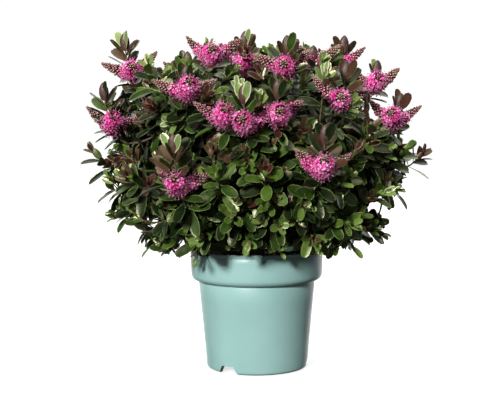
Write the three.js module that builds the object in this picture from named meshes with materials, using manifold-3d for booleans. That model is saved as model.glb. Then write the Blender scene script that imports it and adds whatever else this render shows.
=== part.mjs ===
// A hebe shrub in flower, in its plant pot. Millimetres, +Z up, the front of the plant towards -Y.
// The origin is the middle of the pot's flat underside.
import * as THREE from "three";
import { mergeVertices } from "three/addons/utils/BufferGeometryUtils.js";
import Module from "manifold-3d";

const wasm = await Module();
wasm.setup();

const { PI, sin, cos, hypot, min, max } = Math;
const RADIANS = PI / 180;
const EIGHTH_TURN = 45;
const UP = new THREE.Vector3(0, 0, 1);

// ---- Driving dimensions ----

const GAP = 0.3; // between pieces that touch
const POT = {
  height: 170,
  rimRadius: 95,
  rimRounding: 1.5,
  collarHeight: 38,
  collarFootRadius: 93,
  underCollar: 8, // how far down the collar's sloping underside reaches
  wallTopRadius: 83,
  wallFootRadius: 71.5,
  footRadius: 68,
  footRounding: 5,
  wall: 2,
  floor: 3,
  sides: 32,
};
// The trapezoid drain notches in the foot, by their bearings from the front.
const NOTCH = {
  bearings: [-35, 85, 205],
  footWidth: 30,
  topWidth: 20,
  height: 11,
  fromRadius: 63,
  toRadius: 75,
};
const SOIL = { edgeHeight: 157, shoulderRadius: 52, middleHeight: 161, middleFlat: 1, gap: 0.45 };
const STEM = {
  top: 236,
  flareRadius: 15,
  flareHeight: 6,
  rootRadius: 10.5,
  collarHeight: 16,
  collarRadius: 8.5,
  topRadius: 4,
  tipRise: 3,
  sides: 10,
};
// A bough rises from the stem to the foot of its mass, at this share of the mass's reach.
const BOUGH = { footRadius: 3, tipRadius: 2.1, sides: 4, shareOfReach: 0.42, kneeRise: 0.1 };

// The crown's tips are placed round this point, each by its bearing (0 at the front, 90 at +X),
// its rise above level and its reach.
const CROWN_CENTRE = new THREE.Vector3(0, 0, 235);
const REACH_AT_RISE = [
  [-90, 120],
  [-28, 160],
  [0, 203],
  [25, 246],
  [42, 270],
  [62, 246],
  [90, 230],
];
// Where the crown's surface falls back, and by what share of its reach.
const DENTS = [
  { bearing: 98, rise: 40, share: 0.26, width: 16 },
  { bearing: 60, rise: -24, share: 0.12, width: 10 },
  { bearing: -62, rise: 54, share: 0.1, width: 9 },
  { bearing: -95, rise: 70, share: 0.08, width: 9 },
  { bearing: 0, rise: -26, share: 0.15, width: 28 },
];
// The flowering shoots at the front: bearing, rise and reach of the tip, and how far below the tip
// the racemes leave the shoot.
const FLOWERING = [
  [-76, 52, 302, 60],
  [-73, 38, 276, 66],
  [-26, 43, 274, 38],
  [-26, 59, 257, 24],
  [-60, 86, 243, 52],
  [-4, 37, 270, 54],
  [17.5, 59, 266, 47],
  [40, 61, 248, 24],
  [103, 61, 272, 44],
  [78, 49, 264, 40],
  [37.5, 45, 272, 54],
  [8, 40, 262, 50],
  [22, 26, 256, 62],
  [63, 35, 266, 42],
  [-27, 24, 250, 72],
  [-13, 36, 248, 30],
];
// Leafy shoots that stand out at the sides and low at the front: bearing, rise and reach.
const LEAFY = [
  [-84, 19, 244],
  [-82, 7, 224],
  [-80, -4, 204],
  [-69, -11, 192],
  [-52, -19, 178],
  [84, 17, 248],
  [80, 6, 220],
  [80, -13, 188],
  [52, -17, 182],
  [-13, 14, 226],
  [3, 15, 224],
];
// The other shoots fill the crown on an even spiral, clear of those by a least angle.
const FILL = {
  onWholeSphere: 138,
  lowestRise: -26,
  firstBearing: 40,
  clearOfOthers: 12,
  wander: 2.5,
  reachWander: 0.04,
};
// Away from the front, this share of the shoots above this rise flowers too.
const BACK_BLOOM = { share: 0.65, aboveRise: 20, awayFromFront: 98 };

// One bough carries one mass of foliage, in tiers round the stem.
const TIERS = [
  { name: "low", masses: 7, rise: -8, turn: 0, leavesStemAt: 178 },
  { name: "mid", masses: 8, rise: 19, turn: 22, leavesStemAt: 192 },
  { name: "high", masses: 6, rise: 46, turn: 8, leavesStemAt: 208 },
  { name: "top", masses: 2, rise: 78, turn: -80, leavesStemAt: 218 },
];
const TIER_STAGGER = 9; // every other bough leaves the stem this much higher, but not at the top
// The leader's side shoots fork off it from this share of its length, this far apart. Each keeps to
// its leader's line at first, and runs up to its tip at the end.
const ROUTE = {
  firstFork: 0.06,
  forkStep: 0.06,
  turnToTip: 0.7,
  onwardShare: 0.3,
  uprightShare: 0.5,
  uprightPastRacemes: 2.4,
  samples: 8,
};
const TURN_UP = { least: 0.15, more: 1.3, flowering: 14 };

const TWIG = { footRadius: 2.1, forkRadius: 1.9, middleRadius: 1.8, tipRadius: 1.6, sides: 3 };
const LEAF = {
  length: 57,
  width: 26,
  thickness: 1.6,
  widestAt: 0.54,
  droop: 0.1,
  root: 0.3,
  leastAboveFork: 8,
};
const BUD = { length: 26, width: 10, widestFromTip: 0.55, tipRadius: 0.6 };
// Pairs of leaves down a shoot: distance from its tip, spread from its line and share of full size.
const PAIRS = [
  [24, 42, 0.78],
  [44, 62, 1],
  [66, 72, 1],
];
const RACEME = { fromTip: 48, sides: 5, bodyFrom: 0.28, bodyTo: 0.6, apart: 1 };
// The three racemes of a shoot, by their turn from the side it faces and their spread from its line.
const RACEMES = [
  [0, 82],
  [90, 64],
  [-90, 64],
];
// A raceme from its foot to its tip: open florets low down, then buds.
const RACEME_PROFILE = [
  [0, 1],
  [12, 15],
  [9.5, 29],
  [0, 54],
];
const RACEME_RADIUS = RACEME_PROFILE[1][0];
const RACEME_LENGTH = RACEME_PROFILE.at(-1)[1];
const CORE = { shareOfReach: 0.66, radius: 44, leastRadius: 14, step: 3, margin: 4 };
// How far a leaf keeps on its own side, and off the pot and the stem. Within the heart of its own
// mass, this near a twig, it needs no such check.
const CLEARANCE = { side: 0.8, pot: 3, stem: 2, stemTop: 4, heart: 4, boughHeart: 2 };

// ---- Solids from three.js geometry ----

function solid(geometry) {
  geometry.deleteAttribute("normal");
  geometry.deleteAttribute("uv");
  const merged = mergeVertices(geometry, 1e-4);
  return new wasm.Manifold(
    new wasm.Mesh({
      numProp: 3,
      vertProperties: merged.attributes.position.array,
      triVerts: new Uint32Array(merged.index.array),
    }),
  );
}

function geometryOf(manifold) {
  const { vertProperties, triVerts } = manifold.getMesh();
  return new THREE.BufferGeometry()
    .setAttribute("position", new THREE.BufferAttribute(vertProperties, 3))
    .setIndex(new THREE.BufferAttribute(triVerts, 1))
    .toNonIndexed();
}

// Joins the pieces and drops any scrap that hangs on nothing.
function fuse(pieces) {
  const bodies = pieces.reduce((whole, piece) => whole.add(piece)).decompose();
  return bodies.reduce((a, b) => (b.volume() > a.volume() ? b : a));
}

function moveVertices(geometry, move) {
  const places = geometry.attributes.position;
  const v = new THREE.Vector3();
  for (let i = 0; i < places.count; i++) {
    v.fromBufferAttribute(places, i);
    move(v);
    places.setXYZ(i, v.x, v.y, v.z);
  }
  return geometry;
}

// Turned about the Z axis from a closed outline of [radius, height] points.
function turned(outline, sides) {
  const points = outline.map(([r, z]) => new THREE.Vector2(r, z));
  return new THREE.LatheGeometry(points, sides).rotateX(PI / 2);
}

// A limb along a curve: a cylinder whose rings are set along it, at [share of its length, radius].
function limb(curve, rings, sides) {
  const level = UP.clone().cross(curve.getTangent(0.5)).normalize();
  const steps = rings.length - 1;
  const tube = new THREE.CylinderGeometry(1, 1, steps, sides, steps);
  return moveVertices(tube, (v) => {
    const [t, radius] = rings[Math.round(v.y + steps / 2)];
    const tangent = curve.getTangent(t);
    const across = level.clone().cross(tangent).normalize();
    const flat = tangent.clone().cross(across);
    const centre = curve.getPoint(t);
    v.copy(centre.addScaledVector(flat, v.x * radius).addScaledVector(across, v.z * radius));
  });
}

// Sets a geometry made along +X, face towards +Z, at a root, along a direction, face towards a side.
function placed(geometry, root, along, face) {
  const side = face.clone().cross(along).normalize();
  const upright = along.clone().cross(side);
  return geometry.applyMatrix4(new THREE.Matrix4().makeBasis(along, side, upright).setPosition(root));
}

// A leaf of six faces, its midrib a low keel underneath, its tip drooping. Its five corners are its
// foot, its tip, its two edges and the keel.
const LEAF_CORNERS = [-1, 0, 0, 1, 0, 0, 0, 1, 0, 0, -1, 0, 0, 0, -1];
const LEAF_FACES = [0, 3, 2, 0, 2, 4, 0, 4, 3, 1, 2, 3, 1, 4, 2, 1, 3, 4];

function leaf(root, along, face, size) {
  const length = LEAF.length * size;
  const shape = moveVertices(new THREE.PolyhedronGeometry(LEAF_CORNERS, LEAF_FACES, 1, 0), (v) => {
    const widest = v.x === 0 ? LEAF.widestAt : (v.x + 1) / 2;
    const width = (v.y * LEAF.width * size) / 2;
    v.set(widest * length - LEAF.root, width, v.z * LEAF.thickness - max(v.x, 0) * LEAF.droop * length);
  });
  return placed(shape, root, along, face);
}

function raceme(root, along, face) {
  const shape = turned(RACEME_PROFILE, RACEME.sides).rotateY(PI / 2);
  return placed(shape, root, along, face);
}

// ---- Where things go ----

// The same draws each time for the same number.
function seeded(number) {
  let state = (number * 2654435761) >>> 0;
  return () => {
    state = (state + 0x6d2b79f5) >>> 0;
    let t = Math.imul(state ^ (state >>> 15), 1 | state);
    t = (t + Math.imul(t ^ (t >>> 7), 61 | t)) ^ t;
    return ((t ^ (t >>> 14)) >>> 0) / 4294967296;
  };
}

function heading(bearing, rise) {
  const level = new THREE.Vector3(sin(bearing * RADIANS), -cos(bearing * RADIANS), 0);
  return level.multiplyScalar(cos(rise * RADIANS)).addScaledVector(UP, sin(rise * RADIANS));
}

function angleBetween(a, b) {
  return a.angleTo(b) / RADIANS;
}

function reachToward(direction) {
  const rise = Math.asin(direction.z) / RADIANS;
  const row = REACH_AT_RISE.findIndex(([r]) => r >= rise);
  const [[lowRise, low], [highRise, high]] = REACH_AT_RISE.slice(max(row, 1) - 1, max(row, 1) + 1);
  const reach = low + ((high - low) * (rise - lowRise)) / (highRise - lowRise);
  return DENTS.reduce((left, dent) => {
    const off = angleBetween(direction, heading(dent.bearing, dent.rise)) / dent.width;
    return left * (1 - dent.share * Math.exp(-off * off));
  }, reach);
}

// A leafy shoot turns up towards the light the more the higher it stands; a flowering one stands
// nearly upright.
function shootLine({ direction, racemesFromTip }) {
  const high = THREE.MathUtils.smoothstep(direction.z, 0, 0.5);
  const lift = racemesFromTip ? TURN_UP.flowering : TURN_UP.least + TURN_UP.more * high;
  return direction.clone().addScaledVector(UP, lift).normalize();
}

function makeShoots() {
  const shoots = [...FLOWERING, ...LEAFY].map(([bearing, rise, reach, racemesFromTip]) => ({
    direction: heading(bearing, rise),
    reach,
    racemesFromTip,
  }));
  const placedByHand = shoots.map((shoot) => shoot.direction);
  const goldenTurn = 180 * (3 - Math.sqrt(5));
  for (let i = 0; i < FILL.onWholeSphere; i++) {
    const draw = seeded(i + 1);
    const wander = () => (draw() * 2 - 1) * FILL.wander;
    const rise = Math.asin(1 - (2 * i + 1) / FILL.onWholeSphere) / RADIANS;
    const bearing = ((FILL.firstBearing + i * goldenTurn) % 360) - 180;
    if (rise < FILL.lowestRise) break;
    const direction = heading(bearing + wander(), rise + wander());
    const room = min(...placedByHand.map((other) => angleBetween(direction, other)));
    const reach = reachToward(direction) * (1 + (draw() * 2 - 1) * FILL.reachWander);
    const away = Math.abs(bearing) > BACK_BLOOM.awayFromFront && rise > BACK_BLOOM.aboveRise;
    const racemesFromTip = away && draw() < BACK_BLOOM.share ? RACEME.fromTip : undefined;
    if (room > FILL.clearOfOthers) shoots.push({ direction, reach, racemesFromTip });
  }
  for (const shoot of shoots) {
    shoot.tip = CROWN_CENTRE.clone().addScaledVector(shoot.direction, shoot.reach);
    shoot.line = shootLine(shoot);
    shoot.facing = new THREE.Vector3(0, shoot.direction.y > 0 ? 1 : -1, 0);
  }
  return shoots;
}

// Each mass takes the shoots that lie nearest its own heading, its leader first.
function makeMasses(shoots) {
  const masses = TIERS.flatMap((tier) =>
    Array.from({ length: tier.masses }, (_, k) => ({
      name: `${tier.name}_${k + 1}`,
      heading: heading(tier.turn + (k * 360) / tier.masses, tier.rise),
      stemHeight: tier.leavesStemAt + (tier.name === "top" ? 0 : (k % 2) * TIER_STAGGER),
      shoots: [],
    })),
  );
  for (const shoot of shoots) {
    const off = masses.map((mass) => angleBetween(mass.heading, shoot.direction));
    masses[off.indexOf(min(...off))].shoots.push(shoot);
  }
  for (const mass of masses) {
    const middle = mass.shoots.reduce((sum, s) => sum.add(s.direction), new THREE.Vector3()).normalize();
    const reach = mass.shoots.reduce((sum, s) => sum + s.reach, 0) / mass.shoots.length;
    mass.foot = CROWN_CENTRE.clone().addScaledVector(middle, reach * BOUGH.shareOfReach);
    const off = (shoot) => Math.round(angleBetween(shoot.direction, middle) * 1000);
    mass.shoots.sort((a, b) => off(a) - off(b));
    layRoutes(mass);
  }
  return masses;
}

// The bough rises from the stem to the mass's foot; the leader runs on from there, and the other
// shoots branch from the leader one after another.
function layRoutes(mass) {
  const start = new THREE.Vector3(0, 0, mass.stemHeight);
  const outward = mass.foot.clone().sub(start);
  const knee = start.clone().addScaledVector(outward, 0.5);
  knee.addScaledVector(UP, BOUGH.kneeRise * outward.length());
  mass.bough = new THREE.QuadraticBezierCurve3(start, knee, mass.foot);
  mass.shoots.forEach((shoot, k) => {
    const leader = mass.shoots[0].route;
    const fork = ROUTE.firstFork + ROUTE.forkStep * k;
    const onward = k === 0 ? mass.bough.getTangent(1) : leader.getTangent(fork);
    const from = k === 0 ? mass.foot.clone().addScaledVector(onward, GAP) : leader.getPoint(fork);
    if (k > 0) onward.lerp(shoot.tip.clone().sub(from).normalize(), ROUTE.turnToTip).normalize();
    const span = from.distanceTo(shoot.tip);
    const first = from.clone().addScaledVector(onward, ROUTE.onwardShare * span);
    const upright = max(ROUTE.uprightShare * span, ROUTE.uprightPastRacemes * (shoot.racemesFromTip ?? 0));
    const second = shoot.tip.clone().addScaledVector(shoot.line, -upright);
    shoot.route = new THREE.CubicBezierCurve3(from, first, second, shoot.tip);
    shoot.length = shoot.route.getLength();
  });
}

// ---- Keeping to one's own space ----

function distanceToRoute(point, samples) {
  const [nearest, along] = [new THREE.Vector3(), new THREE.Line3()];
  let best = Infinity;
  for (let i = 0; i + 1 < samples.length; i++) {
    along.set(samples[i], samples[i + 1]).closestPointToPoint(point, true, nearest);
    best = min(best, nearest.distanceTo(point));
  }
  return best;
}

function gatherRoutes(masses) {
  for (const mass of masses) {
    mass.routes = mass.shoots.map((shoot) => shoot.route.getPoints(ROUTE.samples));
    mass.boughPoints = mass.bough.getPoints(ROUTE.samples);
    mass.heads = [];
  }
}

function clearOfPot(point) {
  const out = hypot(point.x, point.y);
  return out > POT.rimRadius + CLEARANCE.pot || point.z > POT.height + CLEARANCE.pot;
}

function clearOfStem(point) {
  const out = hypot(point.x, point.y);
  return out > STEM.collarRadius + CLEARANCE.stem || point.z > STEM.top + CLEARANCE.stemTop;
}

// Whether a point is on the mass's own side of every other mass, and off the boughs and the stem.
// A mass's own side is nearer its twigs than any other's.
function inOwnSpace(point, mass, masses, ownSpan) {
  if (!clearOfPot(point) || !clearOfStem(point)) return false;
  return masses.every((other) => {
    const fromBough = distanceToRoute(point, other.boughPoints);
    if (fromBough < BOUGH.footRadius + CLEARANCE.side) {
      return other === mass && ownSpan < CLEARANCE.boughHeart;
    }
    if (other === mass) return true;
    const inHead = (head) => distanceToRoute(point, head) < RACEME_RADIUS + CLEARANCE.side;
    if (other.heads.some(inHead)) return false;
    return other.routes.every((route) => distanceToRoute(point, route) > ownSpan + 2 * CLEARANCE.side);
  });
}

function ownDistance(point, mass) {
  return min(...mass.routes.map((route) => distanceToRoute(point, route)));
}

// ---- The masses ----

// A place on a shoot a given length down from its tip, with the line it grows along there.
function downShoot(shoot, fromTip) {
  const t = 1 - fromTip / shoot.length;
  return { root: shoot.route.getPointAt(max(t, 0)), line: shoot.route.getTangentAt(max(t, 0)) };
}

// A direction that leaves a line at a spread angle, turned about it from the side it faces.
function leaving(line, spread, facing, turn) {
  const side = facing.clone().addScaledVector(line, -line.dot(facing)).normalize();
  side.applyAxisAngle(line, turn * RADIANS);
  return line.clone().multiplyScalar(cos(spread * RADIANS)).addScaledVector(side, sin(spread * RADIANS));
}

// Whether a raceme's body, from one point of its axis to the other, is clear of every other mass.
function racemeFits(body, mass, masses) {
  const clear = (points, span) => points.every((p) => distanceToRoute(p, body) > span);
  return masses.every((other) => {
    if (other === mass) return true;
    return (
      other.heads.every((head) => clear(head, 2 * RACEME_RADIUS + RACEME.apart)) &&
      other.routes.every((route) => clear(route, RACEME_RADIUS + TWIG.footRadius))
    );
  });
}

function growRacemes(mass, masses) {
  for (const shoot of mass.shoots.filter((s) => s.racemesFromTip)) {
    for (const [turn, spread] of RACEMES) {
      const { root } = downShoot(shoot, shoot.racemesFromTip);
      const along = leaving(shoot.line, spread, shoot.facing, turn);
      const out = (share) => root.clone().addScaledVector(along, share * RACEME_LENGTH);
      const body = [out(RACEME.bodyFrom), out(RACEME.bodyTo)];
      if (!racemeFits(body, mass, masses) || !body.every(clearOfPot)) continue;
      mass.heads.push(body);
      mass.pieces.push(solid(raceme(root, along, shoot.line)));
    }
  }
}

function cornersOf(geometry) {
  const places = geometry.attributes.position;
  return Array.from({ length: places.count }, (_, i) => new THREE.Vector3().fromBufferAttribute(places, i));
}

// A leaf that would leave its mass's own space, or end inside the mass's core, is left out.
function leafFits(blade, leafTip, mass, masses) {
  if (leafTip.distanceTo(mass.core) < CORE.radius) return false;
  return cornersOf(blade).every((corner) => {
    const span = ownDistance(corner, mass);
    return span < CLEARANCE.heart || inOwnSpace(corner, mass, masses, span);
  });
}

// Each pair of leaves stands crosswise to the pair above it, and between the racemes.
function growLeaves(mass, masses) {
  mass.shoots.forEach((shoot, k) => {
    PAIRS.forEach(([fromTip, spread, size], level) => {
      if (fromTip > shoot.length - LEAF.leastAboveFork) return;
      const { root, line } = downShoot(shoot, fromTip);
      for (const half of [0, 180]) {
        const turn = EIGHTH_TURN * (shoot.racemesFromTip ? 1 : k) + 2 * EIGHTH_TURN * level + half;
        const along = leaving(line, spread, shoot.facing, turn);
        const blade = leaf(root, along, line, size);
        const leafTip = root.clone().addScaledVector(along, LEAF.length * size);
        if (leafFits(blade, leafTip, mass, masses)) mass.pieces.push(solid(blade));
      }
    });
  });
}

// The dense middle of a mass, which its twigs and leaves stand out of. It stays a margin inside the
// mass's own space.
function growCore(mass, masses) {
  const reach = mass.shoots.reduce((sum, s) => sum + s.reach, 0) / mass.shoots.length;
  const out = mass.foot.clone().sub(CROWN_CENTRE).normalize();
  const centre = CROWN_CENTRE.clone().addScaledVector(out, reach * CORE.shareOfReach);
  const fits = (edge) => inOwnSpace(edge, mass, masses, ownDistance(edge, mass) + CORE.margin);
  const shape = moveVertices(new THREE.IcosahedronGeometry(1), (v) => {
    const at = (radius) => centre.clone().addScaledVector(v, radius);
    let radius = CORE.radius;
    while (radius > CORE.leastRadius && !fits(at(radius))) radius -= CORE.step;
    v.copy(at(radius));
  });
  mass.core = centre;
  mass.pieces.push(solid(shape));
}

// A twig tapers from its fork and ends in a closed bud.
function growTwigs(mass) {
  mass.pieces = mass.shoots.map((shoot, k) => {
    const budFoot = 1 - BUD.length / shoot.length;
    const rings = [
      [0, k === 0 ? TWIG.footRadius : TWIG.forkRadius],
      [budFoot / 2, TWIG.middleRadius],
      [budFoot, TWIG.tipRadius],
      [1 - (BUD.length * BUD.widestFromTip) / shoot.length, BUD.width / 2],
      [1, BUD.tipRadius],
    ];
    return solid(limb(shoot.route, rings, TWIG.sides));
  });
}

// ---- The pot, its root ball and the stem ----

function potOutline() {
  const { height, rimRadius, collarFootRadius, wallTopRadius, wallFootRadius, footRadius, wall } = POT;
  const collarFoot = height - POT.collarHeight;
  const outer = [
    [0, 0],
    [footRadius, 0],
    [wallFootRadius, POT.footRounding],
    [wallTopRadius, collarFoot - POT.underCollar],
    [collarFootRadius, collarFoot],
    [rimRadius, height - POT.rimRounding],
    [rimRadius - POT.rimRounding / 2, height],
  ];
  const inner = [
    [rimRadius - wall, height],
    [collarFootRadius - wall, collarFoot],
    [wallTopRadius - wall, collarFoot - POT.underCollar / 2],
    [wallFootRadius - wall, POT.footRounding + wall],
    [footRadius - wall, POT.floor],
    [0, POT.floor],
  ];
  return { outer, inner };
}

function notchPrism(bearing) {
  const { footWidth, topWidth, height, fromRadius, toRadius } = NOTCH;
  const outline = new THREE.Shape([
    new THREE.Vector2(-footWidth / 2, -POT.floor),
    new THREE.Vector2(footWidth / 2, -POT.floor),
    new THREE.Vector2(topWidth / 2, height),
    new THREE.Vector2(-topWidth / 2, height),
  ]);
  const depth = toRadius - fromRadius;
  const prism = new THREE.ExtrudeGeometry(outline, { depth, bevelEnabled: false });
  // The outline's height becomes Z, and the prism runs out through the wall towards the front.
  prism.rotateX(PI / 2).translate(0, -fromRadius, 0);
  return solid(prism.rotateZ(bearing * RADIANS));
}

function cutNotches(whole) {
  return NOTCH.bearings.reduce((left, bearing) => left.subtract(notchPrism(bearing)), whole);
}

function makePot() {
  const { outer, inner } = potOutline();
  return cutNotches(solid(turned([...outer, ...inner], POT.sides)));
}

// The compost fills the pot to below its rim and stays clear of its wall.
function makeRootBall() {
  const top = [
    [0, SOIL.middleHeight],
    [SOIL.shoulderRadius, SOIL.middleHeight - SOIL.middleFlat],
    [POT.rimRadius - 2 * POT.wall - SOIL.gap, SOIL.edgeHeight],
  ];
  const sidesAndFoot = potOutline().inner.slice(1).map(([r, z]) => [max(r - SOIL.gap, 0), z + GAP]);
  return cutNotches(solid(turned([...top, ...sidesAndFoot].reverse(), POT.sides)));
}

// Flat where it meets the soil, flared at the root, then tapering; it can be grown all round.
function stemOutline(grown) {
  const foot = SOIL.middleHeight + GAP;
  return [
    [0, foot],
    [STEM.flareRadius + grown, foot],
    [STEM.rootRadius + grown, foot + STEM.flareHeight],
    [STEM.collarRadius + grown, foot + STEM.collarHeight],
    [STEM.topRadius + grown, STEM.top],
    [0, STEM.top + STEM.tipRise + grown],
  ];
}

// ---- The part ----

const part = new THREE.Group();
part.name = "hebe_in_pot";

const FINISHES = {
  pot: new THREE.MeshStandardMaterial({ color: 0xa5cfc9, roughness: 0.5 }),
  soil: new THREE.MeshStandardMaterial({ color: 0x4a3426, roughness: 1 }),
  bark: new THREE.MeshStandardMaterial({ color: 0x5a4034, roughness: 0.9 }),
  foliage: new THREE.MeshStandardMaterial({ color: 0x3f6a2c, roughness: 0.55 }),
};

function add(name, manifold, finish) {
  const mesh = new THREE.Mesh(geometryOf(manifold), FINISHES[finish]);
  mesh.name = name;
  part.add(mesh);
}

add("pot", makePot(), "pot");
add("root_ball", makeRootBall(), "soil");
add("stem", solid(turned(stemOutline(0), STEM.sides)), "bark");

const BOUGH_RINGS = [
  [0, BOUGH.footRadius],
  [0.5, (BOUGH.footRadius + BOUGH.tipRadius) / 2],
  [1, BOUGH.tipRadius],
];
const grownStem = solid(turned(stemOutline(GAP), STEM.sides));
const masses = makeMasses(makeShoots());
gatherRoutes(masses);
for (const mass of masses) {
  const bough = solid(limb(mass.bough, BOUGH_RINGS, BOUGH.sides));
  add(`bough_${mass.name}`, fuse([bough.subtract(grownStem)]), "bark");
  growTwigs(mass);
}
for (const mass of masses) growRacemes(mass, masses);
for (const mass of masses) {
  growCore(mass, masses);
  growLeaves(mass, masses);
  add(`mass_${mass.name}`, fuse(mass.pieces), "foliage");
}

export default part;
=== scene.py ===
# The dressed hebe shrub in its pot. The plant is laid out in millimetres and made in metres. The origin
# is the middle of the pot's flat underside, +Z is up and the front faces -Y.
from math import acos, asin, comb, cos, degrees, exp, hypot, pi, radians, sin, sqrt
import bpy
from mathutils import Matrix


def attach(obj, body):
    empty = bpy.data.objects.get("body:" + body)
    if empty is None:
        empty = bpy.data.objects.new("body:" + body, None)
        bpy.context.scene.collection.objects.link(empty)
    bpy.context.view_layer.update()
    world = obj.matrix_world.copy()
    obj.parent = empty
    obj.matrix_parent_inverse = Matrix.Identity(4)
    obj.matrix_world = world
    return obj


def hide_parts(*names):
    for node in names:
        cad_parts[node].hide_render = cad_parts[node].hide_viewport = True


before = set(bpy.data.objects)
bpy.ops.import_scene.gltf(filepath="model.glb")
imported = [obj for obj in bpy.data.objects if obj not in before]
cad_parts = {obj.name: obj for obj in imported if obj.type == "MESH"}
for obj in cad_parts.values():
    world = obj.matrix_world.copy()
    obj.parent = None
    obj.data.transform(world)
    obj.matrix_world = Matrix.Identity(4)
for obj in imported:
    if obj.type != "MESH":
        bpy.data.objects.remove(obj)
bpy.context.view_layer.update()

from types import SimpleNamespace as Named

import bpy
import numpy as np
from mathutils import Matrix, Vector

MM = 0.001
UP = np.array([0.0, 0.0, 1.0])
NUDGE = 0.01
SHOOT_TURN = 180 * (3 - sqrt(5))
FLORET_TURN = radians(137.508)

# ---- Sizes that the solid part shares ----

GAP = 0.3
POT = Named(height=170, rim=95)
POT_CLEARANCE = 3
STEM = Named(foot=161.3, top=236, flare=15, root=10.5, collar=8.5, tip=4)
BOUGH = Named(foot=3, tip=2.1, share=0.42, knee=0.1)
CROWN_CENTRE = np.array([0.0, 0.0, 235.0])
# Rise and reach of the crown's outline.
REACH_AT_RISE = [(-90, 120), (-28, 160), (0, 203), (25, 246), (42, 270), (62, 246), (90, 230)]
# Bearing, rise, share of the reach and width of each dent in it.
DENTS = [(98, 40, 0.26, 16), (60, -24, 0.12, 10), (-62, 54, 0.1, 9), (-95, 70, 0.08, 9), (0, -26, 0.15, 28)]
# Bearing, rise, reach, and how far below the tip the racemes stand.
FLOWERING = [
    (-76, 52, 302, 60), (-73, 38, 276, 66), (-26, 43, 274, 38), (-26, 59, 257, 24),
    (-60, 86, 243, 52), (-4, 37, 270, 54), (17.5, 59, 266, 47), (40, 61, 248, 24),
    (103, 61, 272, 44), (78, 49, 264, 40), (37.5, 45, 272, 54), (8, 40, 262, 50),
    (22, 26, 256, 62), (63, 35, 266, 42), (-27, 24, 250, 72), (-13, 36, 248, 30),
]
LEAFY = [
    (-84, 19, 244, 0), (-82, 7, 224, 0), (-80, -4, 204, 0), (-69, -11, 192, 0), (-52, -19, 178, 0),
    (84, 17, 248, 0), (80, 6, 220, 0), (80, -13, 188, 0), (52, -17, 182, 0), (-13, 14, 226, 0),
    (3, 15, 224, 0),
]
FILL = Named(on_whole_sphere=138, lowest=-26, first_bearing=40, clear=12, wander=2.5, reach_wander=0.04)
BACK_BLOOM = Named(share=0.65, above_rise=20, away=98, from_tip=48)
# Name, number of masses, rise, first bearing and height on the stem.
TIERS = [("low", 7, -8, 0, 178), ("mid", 8, 19, 22, 192), ("high", 6, 46, 8, 208), ("top", 2, 78, -80, 218)]
TIER_STAGGER = 9
ROUTE = Named(first_fork=0.06, fork_step=0.06, turn_to_tip=0.7, onward=0.3, upright=0.5, past_racemes=2.4)
ROUTE_PLACES = np.linspace(0, 1, 9)
TURN_UP = Named(least=0.15, more=1.3, full_at=0.5, flowering=14)
# Turn and spread of the racemes on a flowering shoot.
RACEMES = [(0, 82), (90, 64), (-90, 64)]
RACEME_RADIUS = 12
RACEME_LENGTH = 54
RACEME_BODY = (0.28, 0.6)
RACEME_GAP = 1
TWIG_FOOT = 2.1


# ---- Directions, curves and draws ----

WORD = 0xFFFFFFFF
SEED_SPREAD = 2654435761
STATE_STEP = 0x6D2B79F5
SEEDS = Named(chips=41, bud_length=500, side_twigs=2000, side_number=3000, buds=5000, leaves=7000,
              racemes=9000)
CURVE_PLACES = np.linspace(0, 1, 201)
TANGENT_STEP = 1e-4


def unit(v):
    return v / np.linalg.norm(v)


def seeded(number):
    """The same draws each time for the same number."""
    state = (number * SEED_SPREAD) & WORD

    def draw():
        nonlocal state
        state = (state + STATE_STEP) & WORD
        t = ((state ^ (state >> 15)) * (1 | state)) & WORD
        t = ((t + (((t ^ (t >> 7)) * (61 | t)) & WORD)) & WORD) ^ t
        return ((t ^ (t >> 14)) & WORD) / (WORD + 1)
    return draw


def between(draw, low, high):
    return low + (high - low) * draw()


def several(draw, count, low, high):
    return np.array([between(draw, low, high) for _ in range(count)])


def heading(bearing, rise):
    b, r = radians(bearing), radians(rise)
    return np.array([sin(b) * cos(r), -cos(b) * cos(r), sin(r)])


def angle_between(a, b):
    return degrees(acos(max(-1.0, min(1.0, float(np.dot(unit(a), unit(b)))))))


def reach_toward(direction):
    rise = degrees(asin(direction[2]))
    reach = float(np.interp(rise, *zip(*REACH_AT_RISE)))
    for bearing, dent_rise, share, width in DENTS:
        off = angle_between(direction, heading(bearing, dent_rise)) / width
        reach *= 1 - share * exp(-off * off)
    return reach


def turned_about(v, axis, angle):
    c, s = cos(angle), sin(angle)
    return v * c + np.cross(axis, v) * s + axis * np.dot(axis, v) * (1 - c)


def leaving(line, spread, facing, turn):
    """A direction that leaves a line at a spread angle, turned about it from the side it faces."""
    side = turned_about(unit(facing - line * np.dot(line, facing)), line, radians(turn))
    return line * cos(radians(spread)) + side * sin(radians(spread))


class Curve:
    """A Bezier curve, read by its parameter or by its length."""

    def __init__(self, *corners):
        self.corners = [np.asarray(c, float) for c in corners]
        steps = np.linalg.norm(np.diff(self.at(CURVE_PLACES), axis=0), axis=1)
        self.run = np.concatenate([[0], np.cumsum(steps)])
        self.length = self.run[-1]

    def at(self, t):
        t = np.atleast_1d(t)[:, None]
        n = len(self.corners) - 1
        return sum(comb(n, i) * (1 - t) ** (n - i) * t ** i * c for i, c in enumerate(self.corners))

    def tangent(self, t):
        return unit(self.at(min(t + TANGENT_STEP, 1))[0] - self.at(max(t - TANGENT_STEP, 0))[0])

    def down(self, from_tip):
        """The place and line a given length down from the tip."""
        t = float(np.interp(max(self.length - from_tip, 0), self.run, CURVE_PLACES))
        return self.at(t)[0], self.tangent(t)


# ---- Shoots, masses and routes, by the rule that the solid part grows by ----

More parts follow.
